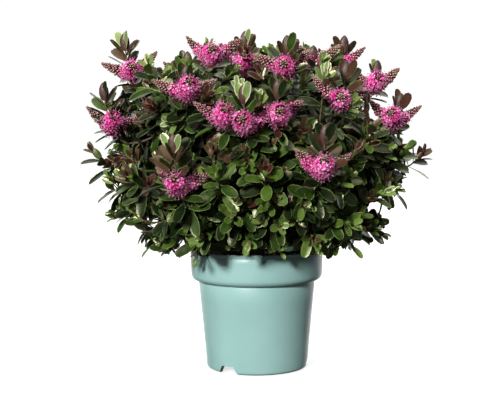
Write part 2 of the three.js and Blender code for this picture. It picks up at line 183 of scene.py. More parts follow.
def make_shoots():
    shoots = [Named(direction=heading(b, r), reach=reach, racemes=racemes)
              for b, r, reach, racemes in FLOWERING + LEAFY]
    by_hand = [s.direction for s in shoots]
    for i in range(FILL.on_whole_sphere):
        draw = seeded(i + 1)
        rise = degrees(asin(1 - (2 * i + 1) / FILL.on_whole_sphere))
        bearing = (FILL.first_bearing + i * SHOOT_TURN) % 360 - 180
        if rise < FILL.lowest:
            break
        off = [(draw() * 2 - 1) * FILL.wander for _ in range(2)]
        direction = heading(bearing + off[0], rise + off[1])
        reach = reach_toward(direction) * (1 + (draw() * 2 - 1) * FILL.reach_wander)
        away = abs(bearing) > BACK_BLOOM.away and rise > BACK_BLOOM.above_rise
        racemes = BACK_BLOOM.from_tip if away and draw() < BACK_BLOOM.share else 0
        if min(angle_between(direction, d) for d in by_hand) > FILL.clear:
            shoots.append(Named(direction=direction, reach=reach, racemes=racemes))
    for number, shoot in enumerate(shoots):
        d = shoot.direction
        high = min(max(d[2] / TURN_UP.full_at, 0), 1)
        high = high * high * (3 - 2 * high)
        lift = TURN_UP.flowering if shoot.racemes else TURN_UP.least + TURN_UP.more * high
        shoot.number, shoot.tip = number, CROWN_CENTRE + d * shoot.reach
        shoot.line, shoot.facing = unit(d + UP * lift), np.array([0.0, 1.0 if d[1] > 0 else -1.0, 0.0])
    return shoots


def make_masses(shoots):
    masses = []
    for tier, count, rise, turn, height in TIERS:
        for k in range(count):
            stagger = 0 if tier == "top" else (k % 2) * TIER_STAGGER
            masses.append(Named(name=f"{tier}_{k + 1}", heading=heading(turn + k * 360 / count, rise),
                                stem_height=height + stagger, shoots=[], heads=[]))
    for shoot in shoots:
        off = [angle_between(m.heading, shoot.direction) for m in masses]
        masses[off.index(min(off))].shoots.append(shoot)
    for mass in masses:
        middle = unit(sum(s.direction for s in mass.shoots))
        reach = sum(s.reach for s in mass.shoots) / len(mass.shoots)
        mass.foot = CROWN_CENTRE + middle * reach * BOUGH.share
        mass.shoots.sort(key=lambda s: round(angle_between(s.direction, middle) * 1000))
        lay_routes(mass)
    return masses


def lay_routes(mass):
    start = np.array([0, 0, mass.stem_height], float)
    outward = mass.foot - start
    knee = start + outward * 0.5 + UP * BOUGH.knee * np.linalg.norm(outward)
    mass.bough = Curve(start, knee, mass.foot)
    for k, shoot in enumerate(mass.shoots):
        if k == 0:
            onward = mass.bough.tangent(1)
            root = mass.foot + onward * GAP
        else:
            leader = mass.shoots[0].route
            fork = ROUTE.first_fork + ROUTE.fork_step * k
            root = leader.at(fork)[0]
            part = ROUTE.turn_to_tip
            onward = unit(leader.tangent(fork) * (1 - part) + unit(shoot.tip - root) * part)
        span = np.linalg.norm(shoot.tip - root)
        upright = max(ROUTE.upright * span, ROUTE.past_racemes * shoot.racemes)
        shoot.route = Curve(root, root + onward * ROUTE.onward * span,
                            shoot.tip - shoot.line * upright, shoot.tip)
    mass.routes = [s.route.at(ROUTE_PLACES) for s in mass.shoots]


def distance_to_route(points, samples):
    """From each point to the nearest place on a line through the samples."""
    a, b = samples[:-1][None], samples[1:][None]
    p = np.atleast_2d(points)[:, None]
    along = b - a
    t = np.clip(((p - a) * along).sum(2) / (along ** 2).sum(2), 0, 1)
    return np.linalg.norm(p - a - along * t[..., None], axis=2).min(1)


def clear_of_pot(point):
    aside = hypot(point[0], point[1]) > POT.rim + POT_CLEARANCE
    return aside or point[2] > POT.height + POT_CLEARANCE


def raceme_fits(body, mass, masses):
    apart = 2 * RACEME_RADIUS + RACEME_GAP
    for other in masses:
        if other is mass:
            continue
        if any((distance_to_route(h, body) <= apart).any() for h in other.heads):
            return False
        if any((distance_to_route(r, body) <= RACEME_RADIUS + TWIG_FOOT).any() for r in other.routes):
            return False
    return True


def lay_racemes(masses):
    """Where the racemes stand: off the pot, and clear of the other masses' racemes and shoots."""
    racemes = []
    for mass in masses:
        for shoot in (s for s in mass.shoots if s.racemes):
            root, _ = shoot.route.down(shoot.racemes)
            for turn, spread in RACEMES:
                along = leaving(shoot.line, spread, shoot.facing, turn)
                body = np.array([root + along * RACEME_LENGTH * share for share in RACEME_BODY])
                if raceme_fits(body, mass, masses) and all(clear_of_pot(p) for p in body):
                    mass.heads.append(body)
                    racemes.append(Named(root=root, along=along, turn=turn))
    return racemes


shoots = make_shoots()
masses = make_masses(shoots)
racemes = lay_racemes(masses)


# ---- Meshes ----

ASKEW = [0.31, 0.77, 0.21]


class Kind:
    """Pieces of one kind, joined as they come. A face of three corners ends in -1."""

    def __init__(self):
        self.corners, self.faces, self.slots, self.count = [], [], [], 0

    def add(self, corners, faces, slots=0):
        corners = np.asarray(corners, float)
        corners = corners[None] if corners.ndim == 2 else corners
        faces = np.asarray(faces)
        copies, each, _ = corners.shape
        offset = self.count + np.arange(copies)[:, None, None] * each
        self.faces.append(np.where(faces[None] < 0, -1, faces[None] + offset).reshape(-1, 4))
        self.slots.append(np.tile(np.broadcast_to(slots, len(faces)), copies))
        self.corners.append(corners.reshape(-1, 3))
        self.count += copies * each


def placed(name, data):
    """A new object in the scene."""
    made = bpy.data.objects.new(name, data)
    bpy.context.scene.collection.objects.link(made)
    return made


def make_object(name, kind, materials=(), smooth=True):
    faces = np.concatenate(kind.faces)
    sizes = np.where(faces[:, 3] < 0, 3, 4)
    mesh = bpy.data.meshes.new(name)
    mesh.vertices.add(kind.count)
    mesh.vertices.foreach_set("co", (np.concatenate(kind.corners) * MM).ravel())
    mesh.loops.add(int(sizes.sum()))
    mesh.loops.foreach_set("vertex_index", faces[faces >= 0].astype(np.int32))
    mesh.polygons.add(len(faces))
    mesh.polygons.foreach_set("loop_start", (np.cumsum(sizes) - sizes).astype(np.int32))
    mesh.polygons.foreach_set("material_index", np.concatenate(kind.slots).astype(np.int32))
    mesh.polygons.foreach_set("use_smooth", np.full(len(faces), smooth))
    for material in materials:
        mesh.materials.append(material)
    mesh.update(calc_edges=True)
    mesh.validate()
    return placed(name, mesh)


def make_piece(name, kind, materials, smooth=True):
    piece = make_object(name, kind, materials, smooth)
    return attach(piece, "root")


def wall_corners(rings, sides):
    """For each wall between neighbouring rings, its two corners on the first of them."""
    ring, spoke = (g.ravel() for g in np.meshgrid(np.arange(rings - 1), np.arange(sides), indexing="ij"))
    return ring * sides + spoke, ring * sides + (spoke + 1) % sides


def closed_faces(rings, sides):
    """Walls from ring to ring, and a fan at each end round the two corners that come last."""
    a, b = wall_corners(rings, sides)
    k, none, middle = np.arange(sides), np.full(sides, -1), np.full(sides, rings * sides)
    after, last = (k + 1) % sides, (rings - 1) * sides
    return np.concatenate([
        np.stack([a, b, b + sides, a + sides], axis=1),
        np.stack([after, k, middle, none], axis=1),
        np.stack([last + k, last + after, middle + 1, none], axis=1)])


def tube(points, radii, sides):
    """Corners and faces of a tube with closed ends along points, its rings kept from twisting."""
    points, radii = np.asarray(points, float), np.asarray(radii, float)
    lines = np.gradient(points, axis=0)
    lines /= np.linalg.norm(lines, axis=1)[:, None]
    side = unit(np.cross(lines[0], ASKEW))
    turns = np.arange(sides) * 2 * pi / sides
    rings = []
    for point, line, radius in zip(points, lines, radii):
        side = unit(side - line * np.dot(side, line))
        other = np.cross(line, side)
        rings.append(point + radius * (np.cos(turns)[:, None] * side + np.sin(turns)[:, None] * other))
    return np.concatenate(rings + [points[:1], points[-1:]]), closed_faces(len(points), sides)


def stamp(kind, shape, faces, slots, roots, frames, scales=1.0):
    """Copies of a shape made along +X, set at roots in frames of rows (along, side, up)."""
    roots, frames = np.asarray(roots), np.asarray(frames)
    scaled = shape[None] * np.reshape(np.broadcast_to(scales, len(roots)), (-1, 1, 1))
    kind.add(np.einsum("nvk,nkc->nvc", scaled, frames) + roots[:, None], faces, slots)


def frame_of(along, face):
    """Rows (along, side, up) of a frame along a direction with its face towards another."""
    side = unit(np.cross(face, along))
    return np.stack([along, side, np.cross(along, side)])


# ---- Leaves ----

LEAF_LENGTH = 38
LEAF_WIDTH = 15.4
LEAF_FOLD = 0.3
MARGIN = 0.75
CREAM_MARGIN = 1.6
LEAST_BLADE = 0.45
MIDRIB_DEPTH = 0.25
COLUMNS = 5
NODE_PITCH = 8.5
LEAF_OUTLINE = np.array([(0.0, 0.13), (0.13, 0.4), (0.38, 0.88), (0.62, 1.0), (0.86, 0.82), (0.98, 0.38)])
SOIL_LEVEL = 158.5
OVERHANG = Named(front=177, side=150, reach=150)
RIM_ROOM = Named(band=4, above_rim=1.5, above_soil=12)
RACEME_ROOM = Named(foot=9, top=40, radius=9.5)
CHECKED_FOR_RIM = (0.4, 0.75, 1)
CHECKED_FOR_RACEMES = (0.35, 0.7, 1.0)
EYE = Named(distance=1650, height=360)
# Openings in the crown's edge as the eye sees them: across, height and radius.
SKY = [
    (-133, 436, 9), (-89, 459, 11), (-23, 473, 6), (36, 466, 8), (115, 470, 5), (137, 474, 6),
    (148, 450, 6), (187, 427, 16), (170, 366, 13), (214, 326, 7), (220, 261, 11), (166, 228, 9),
    (187, 217, 9), (191, 193, 7), (150, 173, 10), (127, 155, 6), (98, 196, 6), (-223, 307, 9),
    (-220, 257, 11), (-198, 261, 7), (-180, 194, 14), (-148, 207, 11), (-109, 177, 9), (-123, 153, 9),
    (-103, 154, 9), (-149, 161, 9), (-166, 167, 7), (-228, 403, 7),
]
leaf_rows = []


def leaf_faces():
    """Four strips of faces from foot to tip, of which the outer two are the margin."""
    faces, slots = [], []
    for i in range(len(LEAF_OUTLINE) - 1):
        for j in range(COLUMNS - 1):
            a = i * COLUMNS + j
            faces.append([a, a + 1, a + COLUMNS + 1, a + COLUMNS])
            slots.append(1 if j in (0, COLUMNS - 2) else 0)
    return np.array(faces), np.array(slots)


def leaf_shapes(rows):
    """Corners of many leaves at once: folded along the midrib, drooping, with a thin pale margin."""
    roots, alongs, faces, length, width, fold, droop = (
        np.array([getattr(row, key) for row in rows])
        for key in ("root", "along", "face", "length", "width", "fold", "droop"))
    length, width, fold, droop = (values[:, None, None] for values in (length, width, fold, droop))
    x, w = LEAF_OUTLINE[:, 0][None, :, None], LEAF_OUTLINE[:, 1][None, :, None]
    half = w * width / 2
    margin = np.array([CREAM_MARGIN if row.tint == "cream" else MARGIN for row in rows])[:, None, None]
    inner = np.maximum(1 - margin / half, LEAST_BLADE)
    edge, middle = np.ones_like(inner), np.zeros_like(inner)
    column = np.concatenate([-edge, -inner, middle, inner, edge], axis=2)
    y = column * half
    z = np.abs(y) * fold - droop * length * x ** 2 - MIDRIB_DEPTH * (column == 0)
    x = np.broadcast_to(x * length, y.shape)
    side = np.cross(faces, alongs)
    side /= np.linalg.norm(side, axis=1)[:, None]
    frames = np.stack([alongs, side, np.cross(alongs, side)], axis=1)
    local = np.stack([x, y, z], axis=-1).reshape(len(rows), -1, 3)
    return np.einsum("nvk,nkc->nvc", local, frames) + roots[:, None]


def clear_of_racemes(rows):
    """Which leaves keep out of the racemes."""
    places = np.array([row.root + row.along * row.length * share
                       for row in rows for share in CHECKED_FOR_RACEMES])
    clear = np.ones(len(places), bool)
    for raceme in racemes:
        ends = [raceme.root + raceme.along * out for out in (RACEME_ROOM.foot, RACEME_ROOM.top)]
        clear &= distance_to_route(places, np.array(ends)) > RACEME_ROOM.radius
    return clear.reshape(len(rows), -1).all(1)


def clear_of_rim(point):
    """Within the rim a leaf stays above the soil; just outside it hangs a little over the collar."""
    out = hypot(point[0], point[1])
    if abs(out - POT.rim) < RIM_ROOM.band:
        return point[2] > POT.height + RIM_ROOM.above_rim
    if out < POT.rim:
        return point[2] > SOIL_LEVEL + RIM_ROOM.above_soil
    frontal = (point[1] / out) ** 2
    lowest = OVERHANG.side + (OVERHANG.front - OVERHANG.side) * frontal
    return out > OVERHANG.reach or point[2] > lowest


def in_the_open(point):
    """Whether a place lies where the crown's edge is open, as seen by somebody in front of it."""
    near = EYE.distance / (EYE.distance + point[1])
    x, z = point[0] * near, EYE.height + (point[2] - EYE.height) * near
    return any(hypot(x - across, z - height) < radius for across, height, radius in SKY)


TINTS = ["dark", "green", "fresh", "young", "cream", "bronze", "maroon"]
# Running shares of the tints.
YOUNG_HIGH = [(0.28, "fresh"), (0.5, "bronze"), (0.62, "young"), (0.84, "maroon"), (1, "cream")]
YOUNG_LOW = [(0.36, "fresh"), (0.62, "bronze"), (0.8, "young"), (1, "cream")]
GROWN = [(0.46, "green"), (0.6, "fresh"), (1, "dark")]
# Leaves far down a shoot lie deep in the crown and mostly take the dark tint: partly the older leaves'
# darker green, partly painted shade of the crown's inside.
INSIDE = [(0.7, "dark"), (1, "green")]
ABOVE_RACEMES = [(0.24, "dark"), (0.8, "bronze"), (1, "green")]
BELOW_RACEMES = [(0.4, "dark"), (0.75, "bronze"), (1, "green")]
HIGH_TIP = 240
TINT_ENDS = Named(young=10, half_young=20, grown=55)
SCATTER = Named(turn=26, spread=14, twist=0.8)
LEAF_SLIMMING = 0.8
OLD_LEAVES = Named(leafy=95, flowering=100, lost=0.3)
TOP_LEAVES = Named(cream=0.3, above_racemes=3, ripen_over=28, droop=-0.06, facing=0.75, pitch=7.4)
LOWER_LEAVES = Named(first=26, droop=0.1)


def leaf_pair(twig, from_tip, level, size, spread, tint, draw, droop, facing=0.35):
    """Two leaves across a twig, each left out where it would meet the pot or fill an opening."""
    root, line = twig.curve.down(from_tip)
    outward = unit(np.array([root[0], root[1], NUDGE]))
    for half in (0, 180):
        turn = twig.turn + 90 * level + half + (draw() - 0.5) * SCATTER.turn
        along = leaving(line, spread + (draw() - 0.5) * SCATTER.spread, twig.facing, turn)
        length = LEAF_LENGTH * size * (0.9 + 0.2 * draw())
        width = LEAF_WIDTH * size ** LEAF_SLIMMING * (0.9 + 0.2 * draw())
        twist = np.cross(line, along) * (draw() - 0.5) * SCATTER.twist
        face = unit(line * 0.8 + UP * 0.25 + outward * 0.35 + twig.facing * facing + twist)
        places = [root + along * length * share for share in CHECKED_FOR_RIM]
        if all(clear_of_rim(place) and not in_the_open(place) for place in places):
            fold, droops = LEAF_FOLD * (0.7 + 0.6 * draw()), droop * (0.4 + 1.2 * draw())
            leaf_rows.append(Named(root=root + along * twig.radius * 0.6, along=along, face=face,
                                   length=length, width=width, fold=fold, droop=droops, tint=tint))


def dealt(pick, shares):
    """What a draw falls to, from the running shares."""
    return next(dealt_to for limit, dealt_to in shares if pick <= limit)


def tint_of(from_tip, twig, draw):
    pick = draw()
    # Far from the tip the tint leans dark, partly as painted shade deep in the crown.
    if from_tip > TINT_ENDS.grown:
        return dealt(pick, INSIDE)
    if twig.flowers:
        return dealt(pick, BELOW_RACEMES)
    if from_tip < TINT_ENDS.young:
        return twig.young
    if from_tip >= TINT_ENDS.half_young:
        return dealt(pick, GROWN)
    if twig.young == "cream":
        return "young"
    return twig.young if twig.high else "fresh"


def dress_leafy(twig, draw):
    """Pairs from the bud down: small, upright and young at first, then full size and spreading."""
    bud, twig.high = twig.bud, twig.curve.at(1)[0][2] > HIGH_TIP
    twig.young = dealt(draw(), YOUNG_HIGH if twig.high else YOUNG_LOW)
    from_tip, level = bud * 0.35, 0
    while from_tip < twig.curve.length - twig.bare:
        ripe = min(max((from_tip - bud * 0.3) / 30, 0), 1)
        lost = from_tip > OLD_LEAVES.leafy and draw() < OLD_LEAVES.lost
        if not lost:
            size = (0.42 + 0.58 * ripe) * twig.size
            spread = 16 + 52 * ripe + 12 * min(from_tip / 90, 1)
            droop = 0.02 + 0.12 * ripe
            leaf_pair(twig, from_tip, level, size, spread, tint_of(from_tip, twig, draw), draw, droop)
        pitch = NODE_PITCH * (0.62 + 0.38 * ripe)
        from_tip += pitch * (0.9 + 0.2 * draw())
        level += 1


def dress_flowering(twig, draw):
    """Small leaves that spread between the closed bud and the racemes, and full leaves below them."""
    cream, racemes_at = draw() < TOP_LEAVES.cream, twig.racemes
    from_tip, level = twig.bud, 0
    while from_tip < racemes_at - TOP_LEAVES.above_racemes:
        ripe = min((from_tip - twig.bud) / TOP_LEAVES.ripen_over, 1)
        tint = "cream" if cream and level == 0 else dealt(draw(), ABOVE_RACEMES)
        size, spread = 0.8 + 0.16 * ripe, 28 + 32 * ripe ** 0.5
        leaf_pair(twig, from_tip, level, size, spread, tint, draw, TOP_LEAVES.droop, TOP_LEAVES.facing)
        from_tip += TOP_LEAVES.pitch
        level += 1
    from_tip = max(racemes_at - TOP_LEAVES.above_racemes, LOWER_LEAVES.first)
    while from_tip < twig.curve.length - twig.bare:
        if from_tip < OLD_LEAVES.flowering or draw() > OLD_LEAVES.lost:
            size = min(0.74 + 0.006 * (from_tip - racemes_at + 4), 1) * twig.size
            tint = tint_of(from_tip, twig, draw)
            spread = 68 + 12 * draw()
            leaf_pair(twig, from_tip, level, size, spread, tint, draw, LOWER_LEAVES.droop)
        from_tip += NODE_PITCH * (0.9 + 0.3 * draw())
        level += 1


# ---- Twigs ----

MAIN_TWIG = dict(radius=1.3, foot=2.0, bare=10, size=1.0)
FLOWERING_BUD = 25
SIDE_TWIG = dict(flowers=False, racemes=0, radius=0.9, foot=1.2, bare=7)
SIDE_GROWTH = Named(below_racemes=16, below_tip=40, above_foot=4, shortest=24, shorter_by=8, numbers=20)
SIDE_ROOM = Named(reach=0.97, from_stem=14)
OPEN_END = np.linspace(1, 0.5, 26)
OLD_FROM = 90
OLD_WOOD = Named(rings=14, sides=6)
YOUNG_WOOD = Named(rings=7, sides=5)
TWIG_TAPER = 0.75


def main_twig(shoot):
    flowers = bool(shoot.racemes)
    bud = FLOWERING_BUD if flowers else 14 + 5 * seeded(SEEDS.bud_length + shoot.number)()
    return Named(**MAIN_TWIG, curve=shoot.route, flowers=flowers, racemes=shoot.racemes, bud=bud,
                 facing=shoot.facing, turn=45 if flowers else 45 * (shoot.number % 2),
                 number=shoot.number)


def side_tip_fits(tip):
    """Within the crown, off the pot and the stem, and not in an opening."""
    off = tip - CROWN_CENTRE
    within = np.linalg.norm(off) < SIDE_ROOM.reach * reach_toward(unit(off))
    off_stem = hypot(tip[0], tip[1]) > SIDE_ROOM.from_stem
    return within and clear_of_pot(tip) and off_stem and not in_the_open(tip)


def side_twigs(shoot):
    """Finer twigs fork off a shoot below its racemes or young leaves, as long as the crown allows."""
    draw = seeded(SEEDS.side_twigs + shoot.number)
    twigs, k = [], 0
    at = shoot.racemes + SIDE_GROWTH.below_racemes if shoot.racemes else SIDE_GROWTH.below_tip
    while at < shoot.route.length - SIDE_GROWTH.above_foot:
        root, line = shoot.route.down(at)
        for turn in [draw() * 50 + k * 90 + half for half in (0, 180)]:
            along = leaving(line, 44 + 16 * draw(), shoot.facing, turn)
            long = 46 + 26 * draw()
            while long > SIDE_GROWTH.shortest:
                tip = root + along * long * 0.82 + UP * long * 0.3
                if side_tip_fits(tip):
                    break
                long -= SIDE_GROWTH.shorter_by
            if long > SIDE_GROWTH.shortest:
                number = SEEDS.side_number + shoot.number * SIDE_GROWTH.numbers + len(twigs)
                twigs.append(Named(**SIDE_TWIG, curve=Curve(root, root + along * long * 0.45, tip),
                                   facing=shoot.facing, turn=turn, bud=9 + 6 * draw(),
                                   size=0.82 + 0.2 * draw(), number=number))
        at += 27 + 12 * draw()
        k += 1
    return twigs


def bare_end(twig):
    """How far along its curve the wood goes: a leafy twig stops short of an opening."""
    if twig.flowers:
        return 1
    places = zip(OPEN_END, twig.curve.at(OPEN_END))
    return next((part for part, place in places if not in_the_open(place)), OPEN_END[-1])


def add_wood(twig):
    old = twig.curve.length > OLD_FROM
    form, kind = (OLD_WOOD, old_wood) if old else (YOUNG_WOOD, young_wood)
    t = np.linspace(0, bare_end(twig), form.rings)
    radii = twig.foot + (twig.radius * TWIG_TAPER - twig.foot) * t
    kind.add(*tube(twig.curve.at(t), radii, form.sides))


twigs = [main_twig(s) for s in shoots] + [t for s in shoots for t in side_twigs(s)]
old_wood, young_wood = Kind(), Kind()
for twig in twigs:
    add_wood(twig)
    dress = dress_flowering if twig.flowers else dress_leafy
    dress(twig, seeded(SEEDS.leaves + twig.number))


# ---- Buds and blossom ----

FLORET = Named(tube=8.6, tube_foot=1, tube_radii=(0.5, 1.0), petal=4.5, petal_tip=0.5)
# How far past the tube, how far out and how wide to each side a petal is at its foot and at its broadest.
PETAL_ROWS = [(0, 0.6, 0.5), (0.9, 0.62 * FLORET.petal, 1.8)]
STAMEN = Named(foot=0.5, foot_spread=0.4, length=11.4, spread=2.0, lift=0.5, radii=(0.2, 0.16))
ANTHER = [(-0.3, 0, 0), (0.7, 0.55, 0), (0.7, 0, 0.55), (0.7, -0.55, 0), (0.7, 0, -0.55), (1.6, 0, 0)]
THREAD_SIDES = 3
FORMS = dict(
    ball=Named(length=(34, 41), open_share=(0.7, 0.92), rise=(0.12, 0.55), size=1.26, floret_step=0.36,
               bead_step=0.4, lean=(104, 50)),
    spike=Named(length=(37, 50), open_share=(0.2, 0.54), rise=(-0.12, 0.5), size=0.95, floret_step=0.44,
                bead_step=0.31, lean=(98, 30)),
)
STALK = Named(foot=1.1, tip=0.6, rings=7, sides=5, sway=0.28, straight=0.2, bent=0.3)
FIRST_FLORET = 6
LEAN_BEND = 1.6
BEAD = Named(length=7.8, foot_radius=0.5, shoulder=0.58, radius=1.75, neck=0.86, neck_radius=1.0)
PETAL_TONES, BEAD_TONES, BUD_TONES = 3, 4, 4
BUD = [(0, 0.42), (0.14, 0.78), (0.4, 1.0), (0.66, 0.92), (0.86, 0.6), (0.97, 0.24)]
BUD_RING = [(-10, 1), (10, 1), (55, 1), (90, 0.8), (125, 1),
            (170, 1), (190, 1), (235, 1), (270, 0.8), (305, 1)]
BUD_LENGTH = 26
BUD_RADIUS = 7.2
BUD_FLAT = 0.55
# Running shares of a leafy bud's tones.
BUD_SHARES = [(0.6, 3), (0.8, 2), (1, 1)]
ACROSS = [0.3, 0.5, 0.8]
florets, stamens = (dict(ball=Kind(), spike=Kind()) for _ in range(2))
beads, buds, stalks = Kind(), Kind(), Kind()


def leaf_bud():
    """A closed pair of young leaves along +X, flattened and grooved, pale where their edges meet."""
    corners = []
    for x, share in BUD:
        for angle, part in BUD_RING:
            radius, a = share * part * BUD_RADIUS, radians(angle)
            corners.append((x * BUD_LENGTH, radius * cos(a), radius * BUD_FLAT * sin(a)))
    corners.append((BUD_LENGTH, 0, 0))
    faces, slots, sides, tip = [], [], len(BUD_RING), len(corners) - 1
    for k in range(sides):
        after = (k + 1) % sides
        faces += [[i * sides + k, i * sides + after, (i + 1) * sides + after, (i + 1) * sides + k]
                  for i in range(len(BUD) - 1)] + [[tip - sides + k, tip - sides + after, tip, -1]]
        slots += [1 if k in (0, sides // 2) else 0] * (len(BUD) - 1) + [1]
    return np.array(corners), np.array(faces), np.array(slots)


def floret_petals():
    """A tube along +X and four petals; the tube and the petals' feet are a deeper slot."""
    # The tube and the petals' feet are darker than the petals: partly their own deeper pink, partly painted
    # shade in the floret's depth.
    line = [(FLORET.tube_foot, 0, 0), (FLORET.tube, 0, 0)]
    tube_corners, walls = tube(line, FLORET.tube_radii, THREAD_SIDES)
    corners, faces, slots = list(tube_corners[:-2]), list(walls[:THREAD_SIDES]), [1] * THREAD_SIDES
    for k in range(4):
        middle = radians(90 * k + 45)
        out, across = (np.array([0, cos(t), sin(t)]) for t in (middle, middle + pi / 2))
        n = len(corners)
        for past_tube, reach, half in PETAL_ROWS:
            place = np.array([FLORET.tube + past_tube, 0, 0]) + out * reach
            corners += [place + across * sign * half for sign in (-1, 1)]
        corners.append(np.array([FLORET.tube + FLORET.petal_tip, 0, 0]) + out * FLORET.petal)
        faces += [[n, n + 1, n + 3, n + 2], [n + 2, n + 3, n + 4, -1]]
        slots += [1, 0]
    return np.array(corners), np.array(faces), np.array(slots)


def floret_stamens():
    """Two threads with an anther each."""
    corners, faces, slots = [], [], []
    for sign in (-1, 1):
        foot = np.array([FLORET.tube - STAMEN.foot, sign * STAMEN.foot_spread, 0])
        head = np.array([STAMEN.length, sign * STAMEN.spread, STAMEN.lift])
        thread, walls = tube([foot, head], STAMEN.radii, THREAD_SIDES)
        faces += [list(wall + len(corners)) for wall in walls[:THREAD_SIDES]]
        corners += list(thread[:-2])
        n = len(corners)
        corners += [head + np.array(off) for off in ANTHER]
        for k in range(4):
            a, b = n + 1 + k, n + 1 + (k + 1) % 4
            faces += [[n, b, a, -1], [n + 5, a, b, -1]]
        slots += [0] * THREAD_SIDES + [1] * 8
    return np.array(corners), np.array(faces), np.array(slots)


def flower_bud():
    """A closed bud along +X: a dark stalk, a four-sided body widest at its shoulder, and a pale tip."""
    rings = [(0, BEAD.foot_radius), (BEAD.shoulder, BEAD.radius), (BEAD.neck, BEAD.neck_radius)]
    corners = [(x * BEAD.length, r * cos(a), r * sin(a))
               for x, r in rings for a in np.arange(4) * pi / 2]
    corners.append((BEAD.length, 0, 0))
    a, b = wall_corners(len(rings), 4)
    walls = np.stack([a, b, b + 4, a + 4], axis=1)
    tip = [[8 + k, 8 + (k + 1) % 4, 12, -1] for k in range(4)]
    return np.array(corners), np.concatenate([walls, tip]), np.repeat([0, 1, 2], 4)


def ring_frames(axis, places, leans, turns):
    """Roots and frames for pieces set round an axis curve at places, leaning from its line."""
    roots, frames = [], []
    for s, lean, turn in zip(places, leans, turns):
        root, line = axis.down(axis.length - s)
        side = unit(np.cross(line, ACROSS))
        out = side * cos(turn) + np.cross(line, side) * sin(turn)
        along = line * cos(lean) + out * sin(lean)
        roots.append(root)
        frames.append(frame_of(along, unit(line + out * NUDGE)))
    return np.array(roots), np.array(frames)


def spun(frames, draw):
    """The frames turned about their own lines by chance."""
    turned = []
    for along, side, up in frames:
        a = 2 * pi * draw()
        turned.append([along, side * cos(a) + up * sin(a), up * cos(a) - side * sin(a)])
    return np.array(turned)


def by_tone(tones):
    """Each tone, with which of the pieces have it."""
    return [(tone, tones == tone) for tone in np.unique(tones)]


def dress_open_part(axis, open_to, name, draw):
    """Open florets set closely round the axis from its foot."""
    form = FORMS[name]
    places = np.arange(FIRST_FLORET, open_to, form.floret_step)
    count, share = len(places), (places - FIRST_FLORET) / (open_to - FIRST_FLORET)
    first, last = form.lean
    leans = np.radians(first + (last - first) * share ** LEAN_BEND + several(draw, count, -9, 9))
    scales = form.size * several(draw, count, 0.86, 1.08)
    roots, frames = ring_frames(axis, places, leans, np.arange(count) * FLORET_TURN + between(draw, 0, 6))
    frames = spun(frames, draw)
    mood = between(draw, -0.5, 0.5)
    tones = np.floor(several(draw, count, 0, PETAL_TONES) + mood)
    tones = np.clip(tones, 0, PETAL_TONES - 1).astype(int)
    for tone, chosen in by_tone(tones):
        slots = PETALS[2] + 2 * tone
        stamp(florets[name], *PETALS[:2], slots, roots[chosen], frames[chosen], scales[chosen])
    stamp(stamens[name], *STAMENS, roots, frames, scales)


def dress_closed_part(axis, open_to, length, step, draw):
    """Closed buds in a tapering cone that reaches to the tip of the axis."""
    places = np.arange(open_to - 1, length, step)
    count, share = len(places), (places - places[0]) / (length - places[0])
    leans = np.radians(82 - 60 * share ** LEAN_BEND + several(draw, count, -7, 7))
    taper = between(draw, 1.0, 2.2)
    scales = (1.14 - 0.7 * share ** taper) * several(draw, count, 0.84, 1.16)
    roots, frames = ring_frames(axis, places, leans, np.arange(count) * FLORET_TURN)
    ripe = between(draw, 0.1, 1.5)
    tones = share * 1.5 + ripe + several(draw, count, -0.2, 0.9)
    tones = np.clip(tones, 0, BEAD_TONES - 1).astype(int)
    for tone, chosen in by_tone(tones):
        slots = np.array([0, 1 + tone, BEAD_TONES + (1 if tone == 0 else 2)])[BEADS[2]]
        stamp(beads, *BEADS[:2], slots, roots[chosen], frames[chosen], scales[chosen])


def dress_raceme(number, raceme):
    """A stalk that turns up, with open florets round its foot and closed buds from there to its tip."""
    draw = seeded(SEEDS.racemes + number)
    name = "ball" if raceme.turn == 0 else "spike"
    form = FORMS[name]
    length, open_share = between(draw, *form.length), between(draw, *form.open_share)
    root, line, across = raceme.root, raceme.along, np.cross(raceme.along, UP)
    rise, sway = between(draw, *form.rise), between(draw, -STALK.sway, STALK.sway)
    end = unit(line + UP * rise + across * sway) * length
    axis = Curve(root, root + line * length * STALK.straight + end * STALK.bent, root + end)
    radii = np.linspace(STALK.foot, STALK.tip, STALK.rings)
    stalks.add(*tube(axis.at(np.linspace(0, 1, STALK.rings)), radii, STALK.sides))
    dress_open_part(axis, length * open_share, name, draw)
    dress_closed_part(axis, length * open_share, length, form.bead_step, draw)


def add_bud(twig):
    """The closed bud at a twig's tip, unless the tip is in an opening."""
    tip, _ = twig.curve.down(0)
    if in_the_open(tip) and not twig.flowers:
        return
    draw = seeded(SEEDS.buds + twig.number)
    size = 0.92 + 0.12 * draw() if twig.flowers else twig.bud / BUD_LENGTH
    foot, _ = twig.curve.down(BUD_LENGTH * size)
    along = unit(tip - foot)
    facing = leaving(along, 90, twig.facing, 0 if twig.flowers else twig.turn)
    tone = 0 if twig.flowers else dealt(draw(), BUD_SHARES)
    slots = np.where(LEAF_BUD[2] == 1, BUD_TONES, tone)
    stamp(buds, *LEAF_BUD[:2], slots, [foot], [frame_of(along, facing)], size)


PETALS, STAMENS, BEADS, LEAF_BUD = floret_petals(), floret_stamens(), flower_bud(), leaf_bud()
for number, raceme in enumerate(racemes):
    dress_raceme(number, raceme)
for twig in twigs:
    add_bud(twig)

open_leaves = clear_of_racemes(leaf_rows)
leaf_rows = [row for row, clear in zip(leaf_rows, open_leaves) if clear or row.tint == "maroon"]
leaves = {}
for tint in TINTS:
    leaves[tint] = Kind()
    leaves[tint].add(leaf_shapes([row for row in leaf_rows if row.tint == tint]), *leaf_faces())


# ---- Bark ----

WAVES = [(1, 0.6, 0.2), (-0.5, 1, 0.4), (0.3, -0.7, 0.5), (0.9, 0.2, -0.8)]
STEM_FORM = Named(rings=70, sides=28, relief=0.13, above=3, root_at=6, collar_at=16)
BOUGH_FORM = Named(rings=26, sides=12, relief=0.14)


